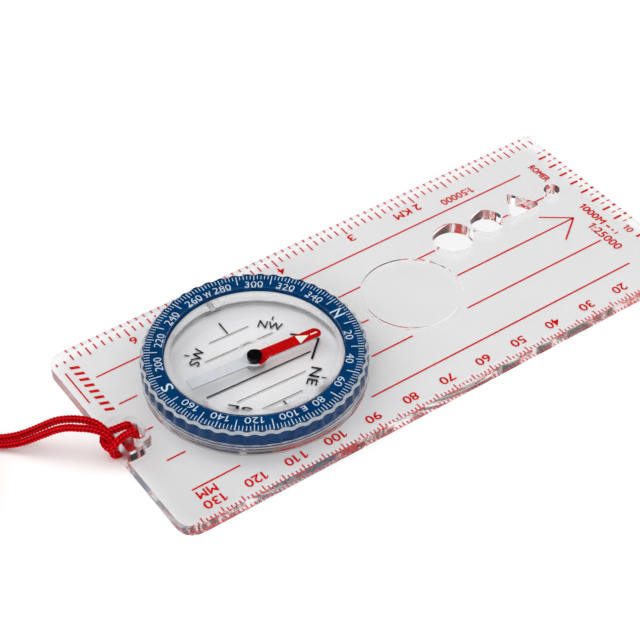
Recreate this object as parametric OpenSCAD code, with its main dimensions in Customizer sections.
// Baseplate compass with a red braided lanyard.
// Millimetres. +Y is the direction of travel, +X the side of the millimetre scale, +Z up.
// The origin is the centre of the underside of the plate.

/* [Baseplate] */
// Width of the plate across the direction of travel
plate_w = 60; // [56:1:66]
// Length of the plate along the direction of travel
plate_l = 138; // [132:1:150]
// Thickness of the plate
plate_t = 3; // [2.5:0.1:4]
// Corner radius at the lanyard end
back_corner_r = 4; // [2:0.5:8]
// Corner radius at the front end
front_corner_r = 1; // [0.5:0.5:4]

/* [Magnifier and stencils] */
// Distance of the magnifier from the middle of the plate
lens_y = 10; // [8:0.5:16]
// Radius of the magnifier
lens_r = 12; // [10:0.5:13]
// Height of the magnifier's crown above the plate
lens_rise = 1.3; // [0.8:0.1:2]
// Radius of the large stencil hole
stencil_large_r = 5; // [4.5:0.1:5.2]
// Radius of the middle stencil hole
stencil_middle_r = 4; // [3:0.1:4.3]
// Radius of the small stencil hole
stencil_small_r = 2; // [1.5:0.1:3]
// Distance from the middle of the triangle stencil to its corners
stencil_triangle_r = 5.4; // [5.4:0.1:5.8]

/* [Dial] */
// Distance of the dial's axis behind the middle of the plate
dial_back = 32.8; // [31:0.1:34]
// Outer radius of the dial over its finger flutes
dial_r = 24.9; // [24.5:0.1:26]
// Height of the top of the dial above the underside of the plate
dial_top = 9.9; // [9.8:0.1:10.4]
// Number of finger flutes around the dial
flute_count = 48; // [36:1:60]
// Bearing that the dial is set to, clockwise from the direction of travel
dial_setting = 3; // [0:1:359]

/* [Needle] */
// Radius of the north tip of the needle
needle_r = 16.4; // [14:0.1:17]
// Width of the needle
needle_w = 3; // [2:0.1:4]
// Angle of the needle, clockwise from the direction of travel
needle_heading = 4.6; // [0:0.1:359]

/* [Lanyard] */
// Diameter of the braided cord
cord_d = 1.6; // [1.4:0.1:1.7]

/* [Hidden] */
$fn = 96;
eps = 0.01;

// The seat under the dial: a round boss with the bore that the capsule turns in
seat_r = dial_r + 0.1;
seat_top = plate_t + 2.1;
seat_bore_r = 19.95;
ledge_z = 1.25;
counterbore_r = 21.1;
turn_gap = 0.1;
dial_z = seat_top + turn_gap;

// The drag ring lies in a groove in the top of the seat
drag_r = 22.2;
drag_section_r = 0.5;
drag_groove_w = 1.1;
drag_groove_floor = seat_top - 1;

// The dial ring is an upside-down channel that holds the blue scale ring
ring_inner_r = 19.8;
ring_wall = 1;
ring_roof = 0.6;
ring_chamfer = 0.9;
rim_h = 0.5;
flute_depth = 0.4;
flute_r = 2.2;
scale_inner_r = 19.95;
scale_outer_r = dial_r - ring_wall - 0.05;
scale_gap = 0.05;

// The capsule: a clear cup over a clear disc, full of damping liquid
capsule_r = 19.75;
cavity_r = 19.1;
cover_top = dial_top - 0.4;
cover_t = 0.8;
wall_foot = 1.55;
stop_r = 3.6;
stop_h = 1.1;
base_z = 0.3;
base_t = 1;
base_r = capsule_r;
gasket_section = 0.25;
gasket_r = 19.4;
pad_w = 3.7;
pad_t = 0.8;
plug_r = 0.7;
plug_z = 4.6;

// The retaining ring is clipped round the foot of the capsule, under the seat's ledge
retainer_r = 20.85;
retainer_z = 0.35;
retainer_h = 0.8;

// Pivot and needle
seat_foot_r = 2.2;
seat_foot_h = 0.8;
pin_r = 0.3;
pin_tip = 6.1;
pin_cone = 0.9;
blade_z = 4.6;
blade_t = 0.5;
eye_r = 2.6;
tail_r = 15.9;
hub_r = 1.9;
hub_z = 3.2;
jewel_r = 0.9;
jewel_top = 6.5;
jewel_cup_r = 0.5;
jewel_cup_top = pin_tip + 0.06;
cap_r = 1.65;
cap_top = 6.8;
shaft_gap = 0.04;

// The lanyard end: a raised bridge with a slot through it, hollow underneath for the cord
bridge_x = 1.5;
bridge_half_w = 6;
bridge_d = 4.6;
bridge_top = plate_t + 2.4;
bridge_corner_r = 1;
bridge_chamfer = 0.8;
collar_half_w = 4.4;
collar_d = 7.4;
slot_x = 1.8;
slot_half_w = 2.9;
slot_y0 = -65.8;
slot_y1 = -62.6;
hollow_h = 2.1;
hollow_half_w = 3.6;

// The cord's route, set by hand: a hitch round the bridge, two risers up from under it,
// then two strands side by side to the coil, whose two ends come out tied in one knot
hitch_x = 1.7;
riser_x = 1.5;
hitch_over = [[0.95, -65.6, 1], [0.95, -64.9, 1.6], [1.05, -64.6, 3.2], [1.1, -64.6, 4.8], [1.15, -65.1, 6.1],
              [1.25, -66.3, 6.3], [1.4, -67.9, 6.3], [1.75, -69.3, 6.1], [1.9, -70.2, 5.5], [1.3, -71, 4.9]];
hitch_bight = [hitch_x, -71.2, 4.7];
riser_route = [[0.85, -69.95, 5], [0.85, -69.95, 3.4], [0.85, -69.95, 1.8], [0.85, -69.2, 0.95], [0.85, -68, 0.9],
               [0.95, -66.2, 0.9], [1.1, -64.9, 1.2]];
strand_a_route = [[0.65, -69.9, 5], [0.5, -70, 6.1], [0, -70.2, 7.1], [-0.8, -70.6, 7.9], [-1.9, -71.2, 8.3],
                  [-3.3, -72.2, 8.5], [-4.9, -73.6, 8.4], [-6.6, -75.3, 8], [-8.4, -77.2, 7.1],
                  [-10, -79.3, 5.6], [-11.6, -81.4, 4], [-13.4, -83.6, 2.4], [-15.6, -86.2, 1.2],
                  [-18, -89.4, 0.8], [-20.4, -92.8, 0.8], [-22.6, -96.4, 0.8], [-24.4, -100.2, 0.8]];
strand_b_route = [[2.35, -69.9, 5], [2.2, -70, 6.1], [1.8, -70.4, 7.1], [1, -71, 7.8], [0, -71.9, 8.2],
                  [-1.3, -73.2, 8.4], [-2.7, -74.7, 8.3], [-4.4, -76.4, 8], [-6.1, -78.3, 7.1],
                  [-7.8, -80.5, 5.6], [-9.5, -82.6, 4], [-11.4, -84.8, 2.4], [-13.8, -87.4, 1.3],
                  [-16.4, -90.4, 1.2], [-19, -93.5, 2], [-21.6, -96.8, 3.2], [-24.4, -100.2, 4]];
tail_a_route = [[-9.2, -117, 2.4], [-7, -116.1, 1.2], [-4.4, -114.8, 0.8], [-1.8, -113.4, 0.8]];
tail_b_route = [[-9.2, -117, 5.6], [-6.4, -115.8, 4.4], [-4, -114.6, 3], [-1.8, -113.4, 2.4]];
coil_x = -14;
coil_y = -106.5;
coil_turns = 4;
coil_inner_r = 5.6;
coil_outer_r = coil_inner_r + coil_turns * cord_d;
coil_h = 4 * cord_d;
knot_x = 0.4;
knot_y = -112.2;
knot_turn = 28;
knot_l = 6;
knot_r = 1.9;
tail_end = 6;

// Sweeping a round cord along a route, with rings that don't twist
sides = 8;
function unit(v) = v / norm(v);
function heading(p, i) = unit(p[min(i + 1, len(p) - 1)] - p[max(i - 1, 0)]);
function side_on(t) = unit(cross(t, abs(t[2]) < 0.9 ? [0, 0, 1] : [1, 0, 0]));
function carry(v, t) = unit(v - (v * t) * t);
function sides_of(p, i = 0, v = undef) =
    i == len(p) ? [] :
    let (t = heading(p, i), w = v == undef ? side_on(t) : carry(v, t)) concat([w], sides_of(p, i + 1, w));
function ring(c, t, v, r) = [for (k = [0:sides - 1]) c + r * (cos(360 * k / sides) * v
                                                            + sin(360 * k / sides) * cross(t, v))];
function mirrored(p, x, s) = [for (q = p) [x + s * q[0], q[1], q[2]]];
function reversed(p) = [for (i = [len(p) - 1:-1:0]) p[i]];

module cord(p, d = cord_d) {
    v = sides_of(p);
    n = len(p);
    points = [for (i = [0:n - 1]) each ring(p[i], heading(p, i), v[i], d / 2)];
    walls = [for (i = [0:n - 2], k = [0:sides - 1])
             let (a = i * sides + k, b = i * sides + (k + 1) % sides)
             each [[a, b + sides, b], [a, a + sides, b + sides]]];
    first = [for (k = [0:sides - 1]) k];
    last = [for (k = [sides - 1:-1:0]) (n - 1) * sides + k];
    polyhedron(points, concat(walls, [first, last]));
}

module at_dial(turn = 0) {
    translate([0, -dial_back, 0]) rotate([0, 0, -turn]) children();
}

module tube(r_out, r_in, h) {
    difference() {
        cylinder(r = r_out, h = h);
        translate([0, 0, -eps]) cylinder(r = r_in, h = h + 2 * eps);
    }
}

module slab(w, l, t, r_back, r_front) {
    difference() {
        translate([-w / 2, -l / 2, 0]) cube([w, l, t]);
        for (s = [-1, 1]) {
            corner_cut(s * w / 2, -l / 2, -s, 1, r_back, t);
            corner_cut(s * w / 2, l / 2, -s, -1, r_front, t);
        }
    }
}

module corner_cut(x, y, sx, sy, r, t) {
    difference() {
        translate([x + (sx < 0 ? -r : 0) + sx * -eps, y + (sy < 0 ? -r : 0) + sy * -eps, -eps])
            cube([r, r, t + 2 * eps]);
        translate([x + sx * r, y + sy * r, -2 * eps]) cylinder(r = r, h = t + 4 * eps);
    }
}

module spherical_cap(r, rise) {
    ball_r = (r * r + rise * rise) / (2 * rise);
    intersection() {
        translate([0, 0, rise - ball_r]) sphere(r = ball_r);
        cylinder(r = r, h = rise + 1);
    }
}

module bridge_block() {
    y0 = -plate_l / 2;
    h = bridge_top - plate_t + eps;
    translate([bridge_x, y0, plate_t - eps]) {
        difference() {
            translate([-bridge_half_w, 0, 0]) cube([2 * bridge_half_w, bridge_d, h]);
            for (s = [-1, 1]) corner_cut(s * bridge_half_w, bridge_d, -s, -1, bridge_corner_r, h);
            end_chamfer(h);
        }
        difference() {
            translate([-collar_half_w, 0, 0]) cube([2 * collar_half_w, collar_d, h]);
            for (s = [-1, 1]) corner_cut(s * collar_half_w, collar_d, -s, -1, 2 * bridge_corner_r, h);
            end_chamfer(h);
        }
    }
}

// Takes the edge off the end of the bridge, where the cord bends over it
module end_chamfer(h) {
    c = bridge_chamfer;
    translate([bridge_half_w + 1, 0, 0]) rotate([0, -90, 0])
        linear_extrude(2 * bridge_half_w + 2) polygon([[h - c, -1], [h - c, 0], [h, c], [h + 1, c], [h + 1, -1]]);
}

module baseplate() {
    color([0.92, 0.93, 0.94, 0.6]) difference() {
        union() {
            slab(plate_w, plate_l, plate_t, back_corner_r, front_corner_r);
            translate([0, lens_y, plate_t - eps]) spherical_cap(lens_r, lens_rise);
            at_dial() translate([0, 0, plate_t - eps]) cylinder(r = seat_r, h = seat_top - plate_t + eps);
            bridge_block();
        }
        dial_bore();
        stencils();
        lanyard_passage();
    }
}

module dial_bore() {
    at_dial() {
        translate([0, 0, -1]) cylinder(r = seat_bore_r, h = seat_top + 2);
        translate([0, 0, -1]) cylinder(r = counterbore_r, h = ledge_z + 1);
        translate([0, 0, drag_groove_floor])
            tube(drag_r + drag_groove_w / 2, drag_r - drag_groove_w / 2, 2);
    }
}

// Four stencils on one printed line, at an even pitch
stencil_x = -10;
stencil_y = 29.8;
stencil_pitch = 10.1;
module stencils() {
    hole_h = plate_t + 2;
    translate([stencil_x, stencil_y, -1]) {
        cylinder(r = stencil_large_r, h = hole_h);
        translate([0, stencil_pitch, 0]) cylinder(r = stencil_middle_r, h = hole_h);
        translate([0, 2 * stencil_pitch, 0]) linear_extrude(hole_h)
            polygon([for (a = [60, 180, 300]) stencil_triangle_r * [cos(a), sin(a)]]);
        translate([0, 3 * stencil_pitch, 0]) cylinder(r = stencil_small_r, h = hole_h);
    }
}

module lanyard_passage() {
    slot_w = slot_y1 - slot_y0;
    slot_end_r = slot_w / 2;
    slot_mid_y = (slot_y0 + slot_y1) / 2;
    translate([slot_x, slot_mid_y, -1]) {
        translate([-slot_half_w + slot_end_r, -slot_end_r, 0])
            cube([2 * (slot_half_w - slot_end_r), slot_w, bridge_top + 2]);
        for (s = [-1, 1]) translate([s * (slot_half_w - slot_end_r), 0, 0])
            cylinder(r = slot_end_r, h = bridge_top + 2);
    }
    translate([slot_x - hollow_half_w, -plate_l / 2 - 1, -1])
        cube([2 * hollow_half_w, slot_y1 + plate_l / 2 + 1, hollow_h + 1]);
}

module drag_ring() {
    color("gainsboro") at_dial() translate([0, 0, drag_groove_floor + drag_section_r + 0.02])
        rotate_extrude() translate([drag_r, 0]) circle(r = drag_section_r, $fn = 24);
}

module dial_ring() {
    wall_top = dial_top - ring_chamfer;
    color([0.85, 0.9, 0.95, 0.6]) at_dial(dial_setting) difference() {
        rotate_extrude() polygon([
            [ring_inner_r, dial_top - ring_roof], [dial_r - ring_wall, dial_top - ring_roof],
            [dial_r - ring_wall, dial_z], [dial_r, dial_z], [dial_r, wall_top],
            [dial_r - ring_chamfer, dial_top], [ring_inner_r, dial_top]]);
        for (i = [0:flute_count - 1]) rotate([0, 0, 360 * i / flute_count])
            translate([dial_r + flute_r - flute_depth, 0, dial_z + rim_h])
                cylinder(r = flute_r, h = dial_top, $fn = 24);
    }
}

module scale_ring() {
    color("midnightblue") at_dial() translate([0, 0, dial_z + scale_gap])
        tube(scale_outer_r, scale_inner_r, dial_top - ring_roof - dial_z - 2 * scale_gap);
}

module capsule_cover() {
    color([0.9, 0.95, 1, 0.5]) at_dial(dial_setting) difference() {
        union() {
            rotate_extrude() polygon([
                [0, cover_top - cover_t - stop_h], [stop_r, cover_top - cover_t - stop_h],
                [stop_r, cover_top - cover_t], [cavity_r, cover_top - cover_t], [cavity_r, wall_foot],
                [capsule_r, wall_foot], [capsule_r, cover_top], [0, cover_top]]);
            translate([-cavity_r - 0.2, -pad_w / 2, wall_foot])
                cube([pad_t + 0.2, pad_w, cover_top - cover_t - wall_foot + eps]);
        }
        fill_hole(plug_r);
    }
}

module fill_hole(r) {
    translate([-capsule_r - eps, 0, plug_z]) rotate([0, 90, 0])
        cylinder(r = r, h = capsule_r - cavity_r + pad_t + 2 * eps);
}

module capsule_base() {
    color([0.95, 0.95, 0.93, 0.6]) at_dial(dial_setting) difference() {
        translate([0, 0, base_z]) cylinder(r = base_r, h = base_t);
        translate([0, 0, base_z + base_t - gasket_section])
            tube(gasket_r + gasket_section, gasket_r - gasket_section, 1);
    }
}

module capsule_gasket() {
    color("gray") at_dial() translate([0, 0, base_z + base_t - gasket_section])
        tube(gasket_r + gasket_section - 0.02, gasket_r - gasket_section + 0.02,
             wall_foot - base_z - base_t + gasket_section);
}

module fill_plug() {
    color("dimgray") at_dial(dial_setting) translate([-capsule_r + 0.02, 0, plug_z]) rotate([0, 90, 0])
        cylinder(r = plug_r - 0.02, h = capsule_r - cavity_r + pad_t - 0.04);
}

module retaining_ring() {
    color("lightgray") at_dial() translate([0, 0, retainer_z]) tube(retainer_r, base_r + 0.02, retainer_h);
}

module pivot_seat() {
    color("gold") at_dial() difference() {
        translate([0, 0, base_z + base_t]) cylinder(r = seat_foot_r, h = seat_foot_h);
        translate([0, 0, base_z + base_t - eps]) cylinder(r = pin_r, h = seat_foot_h + 2 * eps);
    }
}

module pivot_pin() {
    color("silver") at_dial() rotate_extrude() polygon([
        [0, base_z + base_t], [pin_r, base_z + base_t], [pin_r, pin_tip - pin_cone], [0, pin_tip]]);
}

module needle_blade() {
    tip_r = needle_w / 2;
    color("red") at_dial(needle_heading) translate([0, 0, blade_z]) difference() {
        union() {
            translate([-needle_w / 2, -tail_r, 0]) cube([needle_w, tail_r + needle_r - tip_r, blade_t]);
            translate([0, needle_r - tip_r, 0]) cylinder(r = tip_r, h = blade_t);
            cylinder(r = eye_r, h = blade_t);
        }
        translate([0, 0, -eps]) cylinder(r = jewel_r + shaft_gap, h = blade_t + 2 * eps);
    }
}

module bearing_hub() {
    color([0.9, 0.9, 0.9, 0.7]) at_dial() translate([0, 0, hub_z])
        tube(hub_r, jewel_r + shaft_gap, blade_z - hub_z - shaft_gap / 2);
}

module jewel_bearing() {
    color("lightblue") at_dial() difference() {
        translate([0, 0, hub_z + 0.2]) cylinder(r = jewel_r, h = jewel_top - hub_z - 0.2);
        translate([0, 0, hub_z]) cylinder(r = jewel_cup_r, h = jewel_cup_top - hub_z);
    }
}

module hub_cap() {
    color("black") at_dial() difference() {
        translate([0, 0, blade_z + blade_t + shaft_gap / 2])
            cylinder(r = cap_r, h = cap_top - blade_z - blade_t - shaft_gap / 2);
        translate([0, 0, blade_z]) cylinder(r = jewel_r + shaft_gap, h = jewel_top + shaft_gap - blade_z);
    }
}

module lanyard_hitch() {
    left = mirrored(hitch_over, hitch_x, -1);
    right = mirrored(hitch_over, hitch_x, 1);
    color("crimson") {
        cord(concat(left, [hitch_bight], reversed(right)));
        for (s = [-1, 1]) cord(mirrored(riser_route, riser_x, s));
    }
}

module lanyard_strand_a() {
    color("crimson") cord(strand_a_route);
}

module lanyard_strand_b() {
    color("firebrick") cord(strand_b_route);
}

module lanyard_coil() {
    color("crimson") translate([coil_x, coil_y, 0]) rotate_extrude()
        translate([coil_inner_r, 0]) square([coil_outer_r - coil_inner_r, coil_h]);
}

module lanyard_knot() {
    color("firebrick") {
        cord(tail_a_route);
        cord(tail_b_route);
        translate([knot_x, knot_y, knot_r]) rotate([0, 0, knot_turn]) rotate([0, 90, 0])
            translate([0, 0, -knot_l / 2]) cylinder(r = knot_r, h = knot_l);
        for (s = [-1, 1]) translate([knot_x, knot_y, cord_d / 2]) rotate([0, 0, knot_turn])
            translate([knot_l / 2 - eps, s * 0.9, 0]) rotate([0, 90, 0]) cylinder(r = cord_d / 2, h = tail_end);
    }
}

baseplate();
drag_ring();
dial_ring();
scale_ring();
capsule_cover();
capsule_base();
capsule_gasket();
fill_plug();
retaining_ring();
pivot_seat();
pivot_pin();
needle_blade();
bearing_hub();
jewel_bearing();
hub_cap();
lanyard_hitch();
lanyard_strand_a();
lanyard_strand_b();
lanyard_coil();
lanyard_knot();
